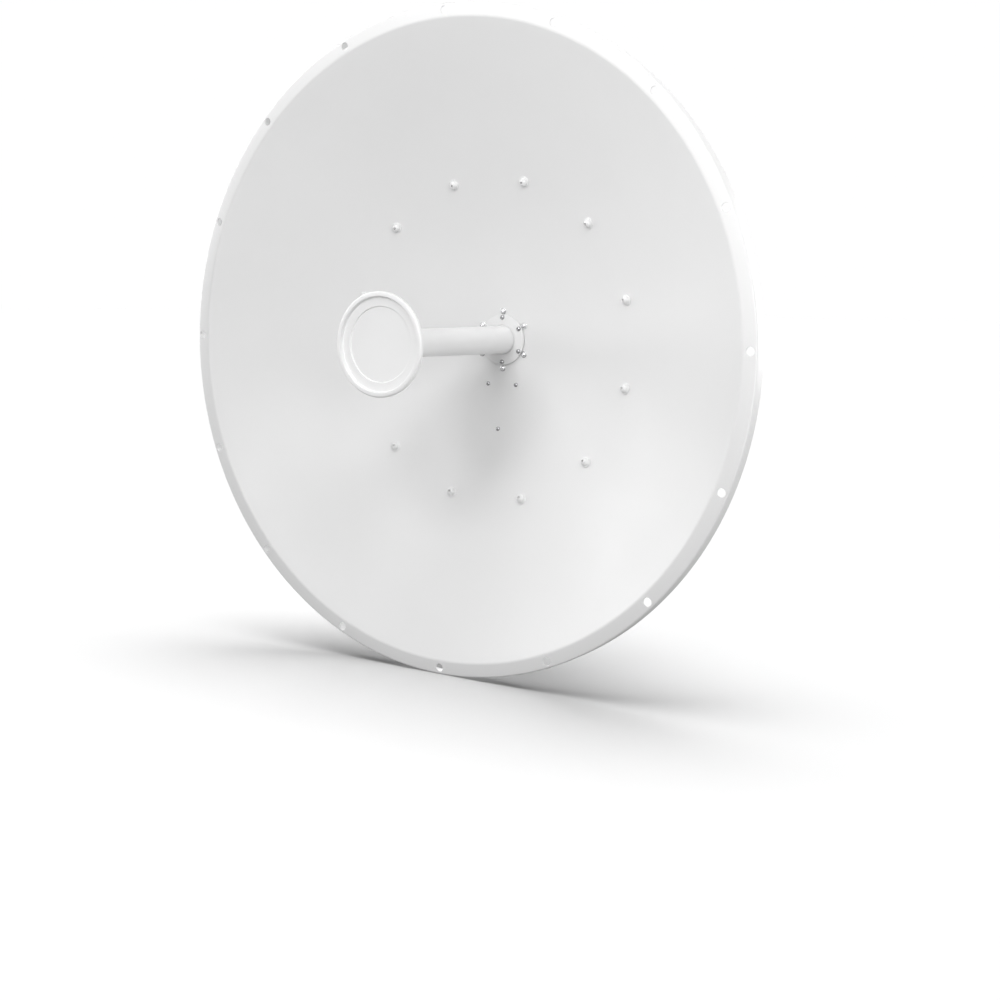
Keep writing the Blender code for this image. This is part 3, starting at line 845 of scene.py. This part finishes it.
def make_rear_hub():
    """The turned hub plate behind the dish."""
    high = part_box("rear_hub")[1]
    radius = high.x
    bore = 0.016
    seat = 0.0430
    spigot_room = CENTRE_HOLE_RADIUS + 0.002
    floor = dish_rear_y(0) + 0.001
    corners = [
        (spigot_room, dish_rear_y(spigot_room) + GAP, 0),
        (seat, dish_rear_y(seat) + GAP, 0),
        (radius, dish_rear_y(radius) + GAP, 0.0004),
        (radius, high.y, 0.0012),
        (bore, high.y, 0),
        (bore, floor, 0),
        (spigot_room, floor, 0),
    ]
    turned_on_axis("rear_hub", "plate", filleted(corners), segments=128, closed=True)


def make_waveguide_block():
    """The block on the hub: a body, a groove, a cover plate on it, and four socket screws."""
    low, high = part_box("waveguide_block")
    half = high.x
    corner = 0.003
    cover = high.y - 0.0050
    groove = 0.0006
    square = [(-half, -half, corner), (half, -half, corner), (half, half, corner), (-half, half, corner)]
    inset = [(x - math.copysign(groove, x), z - math.copysign(groove, z), r) for x, z, r in square]
    shape = bmesh.new()
    for outline, start, end in (
        (square, low.y, cover - groove),
        (inset, cover - 2 * groove, cover + groove),
        (square, cover, high.y),
    ):
        place = Matrix.Translation((0, (start + end) / 2, 0)) @ ON_AXIS
        add_plate(shape, place, [filleted(outline)], end - start)
    stand_in("waveguide_block", "body", to_mesh(shape))
    screws = bmesh.new()
    screw_place = 0.0205
    washer_radius, washer_top = 0.0044, 0.0008
    for x in (-screw_place, screw_place):
        for z in (-screw_place, screw_place):
            place = along(BACK, Vector((x, high.y, z)))
            add_washer(screws, place, M4[0], washer_radius, 0.0, washer_top)
            head = raised(place, washer_top)
            add_socket_screw(screws, head, radius=0.0035, height=0.0040, socket=0.0030)
    finish_piece("block_screw_heads", to_mesh(screws), "zinc", material="steel")


def make_connectors():
    """Two threaded coaxial sockets under the block."""
    collar_height = 0.0040
    sleeve, sleeve_bore, pin = 0.0037, 0.0030, 0.0006
    for side in ("left", "right"):
        node = "rf_connector_" + side
        low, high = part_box(node)
        middle = middle_of(node)
        place = along(-UP, Vector((middle.x, middle.y, high.z)))
        length = high.z - low.z
        sleeve_foot = length - 0.0020
        floor = length - 0.0018
        pin_top = length - 0.0006
        shape = bmesh.new()
        add_hex(shape, place, (high.x - low.x) / 2, 0.0, collar_height)
        add_thread(shape, place, CONNECTOR, collar_height, length - 0.0010, segments=28)
        corners = [
            (0, sleeve_foot, 0),
            (sleeve, sleeve_foot, 0),
            (sleeve, length, 0.0002),
            (sleeve_bore, length, 0.0002),
            (sleeve_bore, floor, 0),
            (pin, floor, 0),
            (pin, pin_top, 0.0001),
            (0, pin_top, 0),
        ]
        add_turned(shape, place, filleted(corners, steps=2), segments=32)
        stand_in(node, "socket", to_mesh(shape))


def make_radio_bracket():
    """A bent plate for the radio, and the nuts of the three small screws."""
    low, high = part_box("radio_bracket")
    sheet = 0.002
    half = high.x - sheet / 2
    web = low.y + sheet / 2
    path = [(-half, high.y), (-half, web), (half, web), (half, high.y)]
    mount = bent_piece("radio_bracket", path, sheet, bend=0.0015, ending="plate")
    hole_x, holes_z = 0.022, (-0.100, -0.160)
    holes = [Vector((x, web, z)) for x in (-hole_x, hole_x) for z in holes_z]
    bore_through(mount, holes, 0.0028, BACK, reach=0.004)
    nuts = bmesh.new()
    for x, z in PLATE_SCREWS:
        place = along(BACK, Vector((x, low.y + sheet, z)))
        add_nut(nuts, place, M4, (0.0045, 0.0008), (0.0040, 0.0040), (0.0004, 0.0060), segments=16)
    finish_piece("radio_plate_nuts", to_mesh(nuts), "zinc")


def make_radio_spacers():
    """Three spacers between the dish and the radio's bracket."""
    for side in ("left", "right", "bottom"):
        node = "radio_spacer_" + side
        low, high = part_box(node)
        middle = middle_of(node)
        shape = bmesh.new()
        place = along(BACK, Vector((middle.x, 0, middle.z)))
        add_pin(shape, place, (high.x - low.x) / 2, low.y, high.y, edge=0.0006, segments=40)
        stand_in(node, "turned", to_mesh(shape))


# The ring and the frame

def make_back_ring():
    """The pressed ring: its seat on the bowl, its sloping wall and its flat flange, with rounded bends."""
    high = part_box("back_ring")[1]
    seat_inner, seat_outer = 0.250, high.x
    seat_middle = (seat_inner + seat_outer) / 2
    wall_rear, flange_inner = 0.238, 0.200
    rear = high.y
    bend = seat_inner + RING_SHEET
    bend_rise = 0.004
    corners = [
        (seat_inner, dish_rear_y(seat_inner) + GAP, 0.0030),
        (seat_middle, dish_rear_y(seat_middle) + GAP, 0),
        (seat_outer, dish_rear_y(seat_outer) + GAP, 0.0006),
        (seat_outer, dish_rear_y(seat_outer) + GAP + RING_SHEET, 0.0006),
        (bend, dish_rear_y(bend) + bend_rise, 0.0020),
        (wall_rear + RING_SHEET, rear, 0.0050),
        (flange_inner, rear, 0.0006),
        (flange_inner, rear - RING_SHEET, 0.0006),
        (wall_rear, rear - RING_SHEET, 0.0030),
    ]
    turned_on_axis("back_ring", "pressing", filleted(corners, steps=5), segments=192, closed=True)


def make_ring_nuts():
    """The nuts of the ring bolts, on the ring's seat."""
    nuts = bmesh.new()
    behind = SHEET + (GAP + RING_SHEET) * math.cos(dish_slope(RING_BOLT_CIRCLE))
    for point, out in ring_bolt_places():
        place = along(-out, point - out * behind)
        add_nut(nuts, place, M8, (0.0085, 0.0016), (0.0075, 0.0082), (0.0010, 0.0115), segments=20)
    finish_piece("ring_bolt_nuts", to_mesh(nuts), "zinc")


def make_channels():
    """Two bent channels across the ring, with the bolts that hold them to its flange and to the cheeks."""
    spare_step, spare_each_way, spare_radius = 0.050, 3, 0.0055
    flange = CHANNEL_SHEET + GAP + RING_SHEET
    walls = CHANNEL_SHEET + GAP + CHEEK_SHEET
    bolts = bmesh.new()
    for side, node in ((-1, "frame_channel_left"), (1, "frame_channel_right")):
        low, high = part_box(node)
        front = low.y + CHANNEL_SHEET / 2
        inner, outer = low.x + CHANNEL_SHEET / 2, high.x - CHANNEL_SHEET / 2
        path = [(inner, high.y), (inner, front), (outer, front), (outer, high.y)]
        channel = bent_piece(node, path, CHANNEL_SHEET, bend=0.0025)
        middle = (inner + outer) / 2
        steps = range(-spare_each_way, spare_each_way + 1)
        spare = [Vector((middle, front, spare_step * step)) for step in steps]
        bore_through(channel, spare, spare_radius, BACK)
        for z in (-CHANNEL_BOLT_Z, CHANNEL_BOLT_Z):
            place = along(FRONT, Vector((middle, low.y + CHANNEL_SHEET, z)))
            add_bolt(bolts, place, M8, head=0.0, nut=flange, tip=flange + 0.0115)
        wall = low.x + CHANNEL_SHEET if side > 0 else high.x - CHANNEL_SHEET
        for z in CHEEK_BOLTS_Z:
            place = along(Vector((-side, 0, 0)), Vector((wall, (low.y + high.y) / 2, z)))
            add_bolt(bolts, place, M6, head=0.0, nut=walls, tip=walls + 0.0085)
    finish_piece("frame_bolts", to_mesh(bolts), "zinc")


def make_cheeks():
    """The two side plates, with the pivot's hole and the arc slot of the lock bolts."""
    pivot = middle_of("pivot_bolt")
    centre = (pivot.y, pivot.z)
    swing, reach = 12, 0.160
    first, last = 90 - swing, 90 + swing
    ends = arc(centre, reach, first, last, steps=1)
    slot = arc(centre, reach + M10_HOLE, first, last, steps=10)
    slot += arc(ends[1], M10_HOLE, last, last + 180, steps=8)[1:-1]
    slot += arc(centre, reach - M10_HOLE, last, first, steps=10)
    slot += arc(ends[0], M10_HOLE, first + 180, first + 360, steps=8)[1:-1]
    hole = arc(centre, M12_HOLE, 0, 350, steps=35)
    corner = 0.008
    foot_y, shoulder_y, nose_z = -0.030, -0.060, 0.095
    sideways = Matrix.Rotation(math.radians(90), 4, "Z") @ ON_AXIS
    for node in ("elevation_cheek_left", "elevation_cheek_right"):
        low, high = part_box(node)
        corners = [
            (low.y, low.z, corner),
            (foot_y, low.z, corner),
            (high.y, -nose_z, corner),
            (high.y, nose_z, corner),
            (shoulder_y, high.z, corner),
            (low.y, high.z, corner),
        ]
        place = Matrix.Translation((middle_of(node).x, 0, 0)) @ sideways
        loops = [filleted(corners, steps=6), list(reversed(hole)), list(reversed(slot))]
        plate_piece(node, "plate", place, loops, high.x - low.x)


# The mast bracket and the clamp

def make_mast_bracket():
    """The bent channel that carries the mast clamp."""
    low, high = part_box("mast_bracket")
    half = high.x - BRACKET_SHEET / 2
    web = high.y - BRACKET_SHEET / 2
    path = [(-half, low.y), (-half, web), (half, web), (half, low.y)]
    bracket = bent_piece("mast_bracket", path, BRACKET_SHEET, bend=0.003)
    pivot = middle_of("pivot_bolt")
    lock = middle_of("lock_bolt_left")
    rod = middle_of("elevation_rod")
    for x in (-half, half):
        bore_through(bracket, [Vector((x, pivot.y, pivot.z))], M12_HOLE, RIGHT)
        bore_through(bracket, [Vector((x, lock.y, lock.z))], M10_HOLE, RIGHT)
    bore_through(bracket, [Vector((rod.x, web, rod.z))], M10_HOLE, BACK)


def make_elevation_bolts():
    """The pivot and the two lock bolts."""
    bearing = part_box("elevation_cheek_right")[1].x + GAP
    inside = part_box("mast_bracket")[1].x - BRACKET_SHEET - GAP
    pivot = middle_of("pivot_bolt")
    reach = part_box("pivot_bolt")[1].x
    bolt_piece("pivot_bolt", (0, pivot.y, pivot.z), RIGHT, M12, -bearing, bearing, reach, plain=0.085)
    for side, direction in (("right", -RIGHT), ("left", RIGHT)):
        node = "lock_bolt_" + side
        lock = middle_of(node)
        tip = -min(abs(end.x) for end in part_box(node))
        bolt_piece(node, (0, lock.y, lock.z), direction, M10, -bearing, -inside, tip)


def make_elevation_rod():
    """The threaded rod that sets the elevation, and its cross pin."""
    low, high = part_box("rod_trunnion")
    pin = middle_of("rod_trunnion")
    rod = middle_of("elevation_rod")
    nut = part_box("mast_bracket")[1].y + GAP
    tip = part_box("elevation_rod")[1].y
    bolt_piece("elevation_rod", (rod.x, 0, rod.z), BACK, M10, low.y - GAP, nut, tip)
    shape = bmesh.new()
    place = along(RIGHT, Vector((0, pin.y, pin.z)))
    add_pin(shape, place, (high.z - low.z) / 2, -high.x, high.x, edge=0.0008, segments=48)
    trunnion = stand_in("rod_trunnion", "turned", to_mesh(shape))
    bore_through(trunnion, [Vector((rod.x, pin.y, pin.z))], M10_HOLE, BACK, reach=0.012)


def clamp_path():
    """The middle line of the saddle: floor, two flanks and two wings."""
    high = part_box("mast_saddle")[1]
    slope = math.radians(50)
    floor = 0.012
    flank = floor + high.y / math.tan(slope)
    bend = CLAMP_SHEET / 2 * math.tan(slope / 2)
    wing = high.y - CLAMP_SHEET / 2
    right = [(floor + bend, -CLAMP_SHEET / 2), (flank + bend, wing), (high.x, wing)]
    return [(-x, y) for x, y in reversed(right)] + right


def make_clamp():
    """The saddle, two jaws, and four studs that draw them together."""
    bend = 0.003
    path = clamp_path()
    saddle = bent_piece("mast_saddle", path, CLAMP_SHEET, bend)
    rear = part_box("jaw_upper")[1].y
    jaw_path = [(x, rear - CLAMP_SHEET - y) for x, y in reversed(path)]
    jaws = {level: bent_piece("jaw_" + level, jaw_path, CLAMP_SHEET, bend) for level in ("upper", "lower")}
    saddle_low, saddle_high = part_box("mast_saddle")
    head = saddle_high.y - CLAMP_SHEET - GAP
    nut = saddle_low.y + rear - head
    for level, jaw in jaws.items():
        for side in ("left", "right"):
            node = f"clamp_stud_{level}_{side}"
            stud = middle_of(node)
            for piece in (saddle, jaw):
                bore_through(piece, [stud], M10_HOLE, BACK, reach=0.15)
            bolt_piece(node, (stud.x, 0, stud.z), BACK, M10, head, nut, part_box(node)[1].y)


def make_saddle_bolts():
    """The two low bolts of the saddle, with their nuts inside the mast bracket."""
    bolts = bmesh.new()
    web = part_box("mast_bracket")[1].y - BRACKET_SHEET
    for z in (-SADDLE_BOLT_Z, SADDLE_BOLT_Z):
        head = along(BACK, Vector((0, 0, z)))
        add_button_screw(bolts, head, radius=0.0090, height=0.0045, socket=0.0060)
        place = along(FRONT, Vector((0, web, z)))
        add_nut(bolts, place, M10, (0.0100, 0.0020), (0.0092, 0.0100), (-0.0010, 0.0130))
    finish_piece("saddle_bolts", to_mesh(bolts), "zinc")


# The stage

FLOOR_Z = cad_box[0].z
FLOOR_HALF = 40
FLOOR_WHITE = grey(0.90)
FLOOR_GLOSS = 0.02
FLOOR_GLOSS_ROUGHNESS = 0.15
FLOOR_FILL = 0.32
WORLD_FILL = 0.01
WORLD_WHITE = 1.004

# Most lights stand on a sphere round the dish
LIT_CENTRE = Vector((0, -0.3, 0))
LIGHT_REACH = 2.2

# The two soft suns over the floor: how far they lean to each side and to the camera, and how soft they are
BANK_LEAN = (-10, 10)
BANK_NOD = -4
BANK_SOFTNESS = 55
BANK_STRENGTH = 1.79
BANK_TURN = math.radians(33)


def mix_shaders(tree, first, second):
    """A node that mixes two shaders. Its Fac is the share of the second."""
    mixed = tree.nodes.new("ShaderNodeMixShader")
    tree.links.new(first, mixed.inputs[1])
    tree.links.new(second, mixed.inputs[2])
    return mixed


def choose_by_ray(tree, rays, for_others, for_rays):
    """A shader that is one thing to some kinds of ray and another to the rest."""
    path = tree.nodes.new("ShaderNodeLightPath")
    wanted = path.outputs[rays[0]]
    for kind in rays[1:]:
        either = tree.nodes.new("ShaderNodeMath")
        either.operation = "MAXIMUM"
        tree.links.new(wanted, either.inputs[0])
        tree.links.new(path.outputs[kind], either.inputs[1])
        wanted = either.outputs["Value"]
    choice = mix_shaders(tree, for_others, for_rays)
    tree.links.new(wanted, choice.inputs["Fac"])
    return choice.outputs["Shader"]


def floor_material():
    """A white sweep that takes real shadows, and gives the antenna a softer light than it shows."""
    material = bpy.data.materials.new("floor_white")
    material.use_nodes = True
    tree = material.node_tree
    tree.nodes.clear()
    matt = tree.nodes.new("ShaderNodeBsdfDiffuse")
    matt.inputs["Color"].default_value = (*FLOOR_WHITE, 1)
    gloss = tree.nodes.new("ShaderNodeBsdfGlossy")
    gloss.inputs["Roughness"].default_value = FLOOR_GLOSS_ROUGHNESS
    polished = mix_shaders(tree, matt.outputs["BSDF"], gloss.outputs["BSDF"])
    polished.inputs["Fac"].default_value = FLOOR_GLOSS
    fill = tree.nodes.new("ShaderNodeEmission")
    fill.inputs["Strength"].default_value = FLOOR_FILL
    shader = choose_by_ray(tree, ["Is Camera Ray"], fill.outputs["Emission"], polished.outputs["Shader"])
    output = tree.nodes.new("ShaderNodeOutputMaterial")
    tree.links.new(shader, output.inputs["Surface"])
    return material


def make_floor():
    mesh = bpy.data.meshes.new("floor")
    shape = bmesh.new()
    bmesh.ops.create_grid(shape, x_segments=1, y_segments=1, size=FLOOR_HALF)
    shape.to_mesh(mesh)
    shape.free()
    floor = bpy.data.objects.new("floor", mesh)
    bpy.context.scene.collection.objects.link(floor)
    floor.location = (0, 0, FLOOR_Z)
    mesh.materials.append(floor_material())
    return floor


def light_floor(floor):
    """Soft light from above for the floor alone, so that it is white and takes one soft shadow."""
    receivers = bpy.data.collections.new("floor_only")
    receivers.objects.link(floor)
    for lean in BANK_LEAN:
        sun = bpy.data.lights.new(f"floor_bank_{lean}", "SUN")
        sun.angle = math.radians(BANK_SOFTNESS)
        sun.energy = BANK_STRENGTH
        obj = bpy.data.objects.new(sun.name, sun)
        bpy.context.scene.collection.objects.link(obj)
        turn = Matrix.Rotation(BANK_TURN, 4, "Z") @ Matrix.Rotation(math.radians(lean), 4, "Y")
        obj.matrix_world = turn @ Matrix.Rotation(math.radians(BANK_NOD), 4, "X")
        obj.light_linking.receiver_collection = receivers


def make_world():
    """White to look at and in reflections, and a dim soft light from all round."""
    world = bpy.data.worlds.new("studio")
    bpy.context.scene.world = world
    world.use_nodes = True
    tree = world.node_tree
    tree.nodes.clear()
    fill = tree.nodes.new("ShaderNodeBackground")
    white = tree.nodes.new("ShaderNodeBackground")
    for background, strength in ((fill, WORLD_FILL), (white, WORLD_WHITE)):
        background.inputs["Color"].default_value = (1, 1, 1, 1)
        background.inputs["Strength"].default_value = strength
    rays = ["Is Camera Ray", "Is Glossy Ray"]
    shader = choose_by_ray(tree, rays, fill.outputs["Background"], white.outputs["Background"])
    output = tree.nodes.new("ShaderNodeOutputWorld")
    tree.links.new(shader, output.inputs["Surface"])


def all_but(name, obj):
    """A collection for light linking that leaves out one object."""
    linking = bpy.data.collections.new(name)
    linking.objects.link(obj)
    linking.collection_objects[0].light_linking.link_state = "EXCLUDE"
    return linking


def add_light(name, location, size, energy, receivers):
    """A round soft light that the camera doesn't see, aimed at the dish."""
    light = bpy.data.lights.new(name, "AREA")
    light.shape = "DISK"
    light.size = size
    light.energy = energy
    obj = bpy.data.objects.new(name, light)
    bpy.context.scene.collection.objects.link(obj)
    obj.location = location
    aim = LIT_CENTRE - Vector(location)
    obj.rotation_euler = aim.to_track_quat("-Z", "Y").to_euler()
    obj.visible_camera = False
    obj.light_linking.receiver_collection = receivers


def around_dish(azimuth, elevation):
    """A place on a sphere round the dish, in degrees: azimuth 0 is its front, and 90 is +X."""
    turn, rise = math.radians(azimuth), math.radians(elevation)
    way = Vector((math.sin(turn) * math.cos(rise), -math.cos(turn) * math.cos(rise), math.sin(rise)))
    return LIT_CENTRE + LIGHT_REACH * way


def make_lights(floor):
    """The studio's lights, for the antenna alone: the floor has its own."""
    antenna = all_but("all_but_floor", floor)
    add_light("left", around_dish(-90, 25), 1.6, 23, antenna)
    add_light("front_left", around_dish(-75, 8), 0.9, 8.5, antenna)
    add_light("front_low", around_dish(0, 8), 0.9, 5.7, antenna)
    add_light("front_middle", around_dish(0, 20), 0.4, 4.6, antenna)
    add_light("front_high", around_dish(0, 30), 0.9, 7.3, antenna)
    add_light("front_right_high", around_dish(15, 35), 0.4, 4.4, antenna)
    add_light("front_right", around_dish(25, 30), 0.9, 2.1, antenna)
    add_light("front_right_low", around_dish(25, 8), 0.9, 3.0, antenna)
    add_light("right", around_dish(50, 8), 0.9, 4.2, antenna)
    add_light("right_low", (1.5, -0.2, -0.3), 0.5, 4.3, antenna)
    add_light("right_top", (0.9, 0.3, 1.4), 0.5, 7, antenna)
    add_light("near_right_high", (0.9, -1.1, 1.0), 0.5, 3.6, antenna)
    add_light("near_right", (1.1, -0.8, 0.2), 0.5, 1.4, antenna)
    add_light("near_top", (0, -0.7, 1.1), 0.5, 2.1, antenna)
    add_light("rear_high", around_dish(180, 55), 0.9, 6, antenna)
    add_light("rear_left", (-1.6, 1.6, 0.3), 1.2, 17, antenna)
    add_light("rear_right", (1.2, 1.9, 0.3), 1.2, 21, antenna)


def make_camera():
    lens = bpy.data.cameras.new("camera")
    lens.lens = LENS
    lens.sensor_width = FILM_WIDTH
    lens.shift_y = LENS_SHIFT
    camera = bpy.data.objects.new("camera", lens)
    bpy.context.scene.collection.objects.link(camera)
    turn = Matrix.Rotation(CAMERA_YAW, 4, "Z") @ Matrix.Rotation(math.radians(90) + CAMERA_PITCH, 4, "X")
    camera.matrix_world = Matrix.Translation(CAMERA_PLACE) @ turn @ Matrix.Rotation(CAMERA_ROLL, 4, "Z")
    bpy.context.scene.camera = camera


bpy.context.scene.view_settings.view_transform = "Standard"
make_camera()
make_reflector()
make_flange()
make_tube()
make_cap()
make_cone()
make_ring_bolts()
make_hub_screws()
make_plate_screws()
make_rear_hub()
make_waveguide_block()
make_connectors()
make_radio_bracket()
make_radio_spacers()
make_back_ring()
make_ring_nuts()
make_channels()
make_cheeks()
make_mast_bracket()
make_elevation_bolts()
make_elevation_rod()
make_clamp()
make_saddle_bolts()
floor = make_floor()
light_floor(floor)
make_world()
make_lights(floor)
